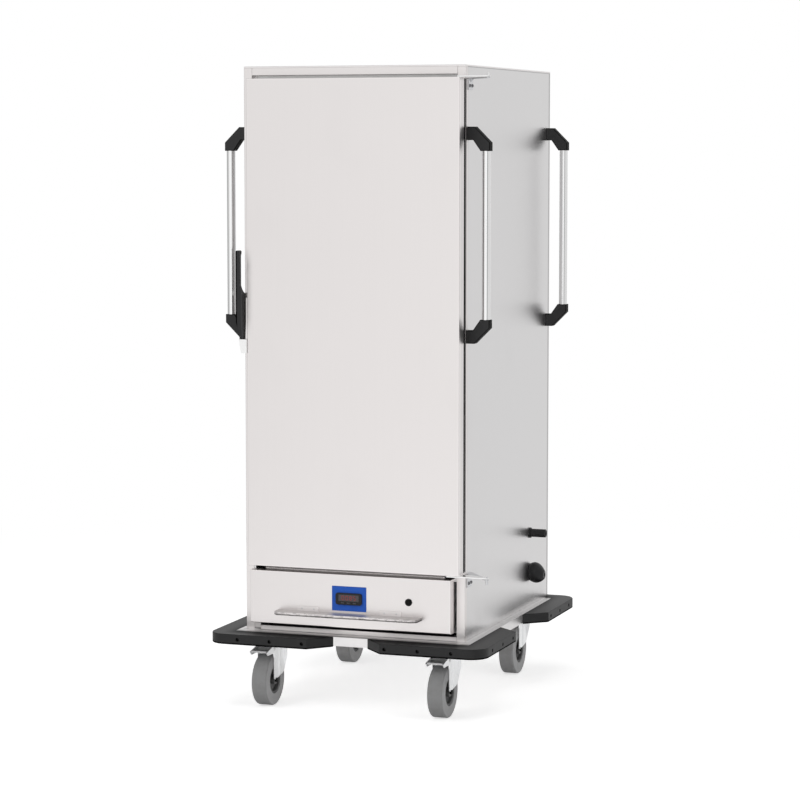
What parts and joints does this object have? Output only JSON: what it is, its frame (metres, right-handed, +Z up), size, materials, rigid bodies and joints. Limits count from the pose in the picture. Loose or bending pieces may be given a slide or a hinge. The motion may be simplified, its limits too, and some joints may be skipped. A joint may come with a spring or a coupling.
{
  "type": "heated banquet trolley",
  "caption": "Tall heated food trolley on casters: one overlay door on offset hinges, lever latch, side grab handles, corner bumpers and a pull-out heater drawer with a control panel.",
  "frame": {"origin": "on the floor, under the middle of the base and its bumpers", "axes": "+X to the right seen from the front, +Y to the back, +Z up"},
  "size_m": [0.739, 0.853, 1.628],
  "materials": {
    "satin_steel": "satin brushed stainless sheet",
    "runner_steel": "folded stainless sheet",
    "bright_steel": "machined stainless",
    "galvanised": "galvanised sheet",
    "heater_sheath": "heat-darkened tube",
    "motor_black": "black enamel",
    "fan_aluminium": "bare pressed sheet",
    "handle_tube": "satin polished tube",
    "handle_plastic": "moulded, fine grain",
    "bumper_plastic": "moulded, fine grain",
    "black_plastic": "moulded, fine grain",
    "controller_black": "moulded",
    "key_grey": "moulded",
    "window": "smoked, clear lacquer",
    "blue_plate": "satin blue film on sheet",
    "gasket_rubber": "soft extruded seal",
    "zinc": "bright zinc plate",
    "tyre_grey": "non-marking grey rubber",
    "rim_black": "moulded, dark grey"
  },
  "bodies": {
    "cabinet": {"side_panel_left": "satin_steel", "side_panel_right": "satin_steel", "front_post_left": "satin_steel", "front_post_right": "satin_steel", "back_panel": "satin_steel", "roof_panel": "satin_steel", "top_rail": "satin_steel", "ceiling_panel": "satin_steel", "floor_panel": "satin_steel", "middle_rail": "satin_steel", "kick_rail": "satin_steel", "drawer_guides": "satin_steel", "base_pan": "satin_steel", "tray_runners_left": "runner_steel", "tray_runners_right": "runner_steel", "hinge_bracket_upper": "bright_steel", "hinge_bracket_lower": "bright_steel", "latch_keeper": "bright_steel", "handle_tubes": "handle_tube", "handle_ends": "handle_plastic", "corner_bumpers": "bumper_plastic", "cable_peg": "black_plastic", "inlet_gland": "black_plastic", "caster_heads": "zinc"},
    "door": {"door_shell": "satin_steel", "door_inner": "satin_steel", "door_gasket": "gasket_rubber", "hinge_arm_upper": "bright_steel", "hinge_arm_lower": "bright_steel", "latch_bracket": "bright_steel"},
    "latch_lever": {"latch_lever": "black_plastic"},
    "heater_drawer": {"drawer_front": "satin_steel", "drawer_chassis": "galvanised", "heating_element": "heater_sheath", "fan_motor": "motor_black", "pull_ledge": "satin_steel", "control_plate": "blue_plate", "controller": "controller_black", "display_window": "window", "switch_body": "black_plastic"},
    "fan_wheel": {"fan_wheel": "fan_aluminium"},
    "switch_rocker": {"switch_rocker": "black_plastic"},
    "controller_key_1": {"controller_key_1": "key_grey"},
    "controller_key_2": {"controller_key_2": "key_grey"},
    "controller_key_3": {"controller_key_3": "key_grey"},
    "caster_front_left": {"caster_fork_front_left": "zinc"},
    "wheel_front_left": {"caster_tyre_front_left": "tyre_grey", "caster_rim_front_left": "rim_black"},
    "brake_pedal_front_left": {"brake_pedal_front_left": "zinc"},
    "caster_front_right": {"caster_fork_front_right": "zinc"},
    "wheel_front_right": {"caster_tyre_front_right": "tyre_grey", "caster_rim_front_right": "rim_black"},
    "brake_pedal_front_right": {"brake_pedal_front_right": "zinc"},
    "caster_rear_left": {"caster_fork_rear_left": "zinc"},
    "wheel_rear_left": {"caster_tyre_rear_left": "tyre_grey", "caster_rim_rear_left": "rim_black"},
    "caster_rear_right": {"caster_fork_rear_right": "zinc"},
    "wheel_rear_right": {"caster_tyre_rear_right": "tyre_grey", "caster_rim_rear_right": "rim_black"}
  },
  "joints": [
    {"name": "door_swing", "type": "hinge", "parent": "cabinet", "child": "door", "pos_m": [0.3645, -0.382, 1.598], "axis": [0, 0, 1], "range_deg": [0, 270]},
    {"name": "latch_turn", "type": "hinge", "parent": "door", "child": "latch_lever", "pos_m": [-0.28, -0.381, 0.9275], "axis": [0, -1, 0], "range_deg": [0, 35]},
    {"name": "drawer_slide", "type": "slide", "parent": "cabinet", "child": "heater_drawer", "axis": [0, -1, 0], "range_m": [0, 0.42]},
    {"name": "fan_spin", "type": "hinge", "parent": "heater_drawer", "child": "fan_wheel", "pos_m": [-0.0035, 0.3045, 0.2754], "axis": [0, 1, 0], "continuous": true},
    {"name": "switch_rock", "type": "hinge", "parent": "heater_drawer", "child": "switch_rocker", "pos_m": [0.1552, -0.3697, 0.2906], "axis": [1, 0, 0], "range_deg": [-8, 8]},
    {"name": "key_1_press", "type": "slide", "parent": "heater_drawer", "child": "controller_key_1", "axis": [0, 1, 0], "range_m": [0, 0.0006], "stiffness_N_per_m": 800},
    {"name": "key_2_press", "type": "slide", "parent": "heater_drawer", "child": "controller_key_2", "axis": [0, 1, 0], "range_m": [0, 0.0006], "stiffness_N_per_m": 800},
    {"name": "key_3_press", "type": "slide", "parent": "heater_drawer", "child": "controller_key_3", "axis": [0, 1, 0], "range_m": [0, 0.0006], "stiffness_N_per_m": 800},
    {"name": "swivel_front_left", "type": "hinge", "parent": "cabinet", "child": "caster_front_left", "pos_m": [-0.236, -0.302, 0.158], "axis": [0, 0, 1], "continuous": true},
    {"name": "roll_front_left", "type": "hinge", "parent": "caster_front_left", "child": "wheel_front_left", "pos_m": [-0.236, -0.342, 0.065], "axis": [1, 0, 0], "continuous": true},
    {"name": "brake_front_left", "type": "hinge", "parent": "caster_front_left", "child": "brake_pedal_front_left", "pos_m": [-0.236, -0.354, 0.1475], "axis": [1, 0, 0], "range_deg": [0, 12]},
    {"name": "swivel_front_right", "type": "hinge", "parent": "cabinet", "child": "caster_front_right", "pos_m": [0.236, -0.302, 0.158], "axis": [0, 0, 1], "continuous": true},
    {"name": "roll_front_right", "type": "hinge", "parent": "caster_front_right", "child": "wheel_front_right", "pos_m": [0.236, -0.342, 0.065], "axis": [1, 0, 0], "continuous": true},
    {"name": "brake_front_right", "type": "hinge", "parent": "caster_front_right", "child": "brake_pedal_front_right", "pos_m": [0.236, -0.354, 0.1475], "axis": [1, 0, 0], "range_deg": [0, 12]},
    {"name": "swivel_rear_left", "type": "hinge", "parent": "cabinet", "child": "caster_rear_left", "pos_m": [-0.236, 0.302, 0.158], "axis": [0, 0, 1], "continuous": true},
    {"name": "roll_rear_left", "type": "hinge", "parent": "caster_rear_left", "child": "wheel_rear_left", "pos_m": [-0.236, 0.262, 0.065], "axis": [1, 0, 0], "continuous": true},
    {"name": "swivel_rear_right", "type": "hinge", "parent": "cabinet", "child": "caster_rear_right", "pos_m": [0.236, 0.302, 0.158], "axis": [0, 0, 1], "continuous": true},
    {"name": "roll_rear_right", "type": "hinge", "parent": "caster_rear_right", "child": "wheel_rear_right", "pos_m": [0.236, 0.262, 0.065], "axis": [1, 0, 0], "continuous": true}
  ]
}
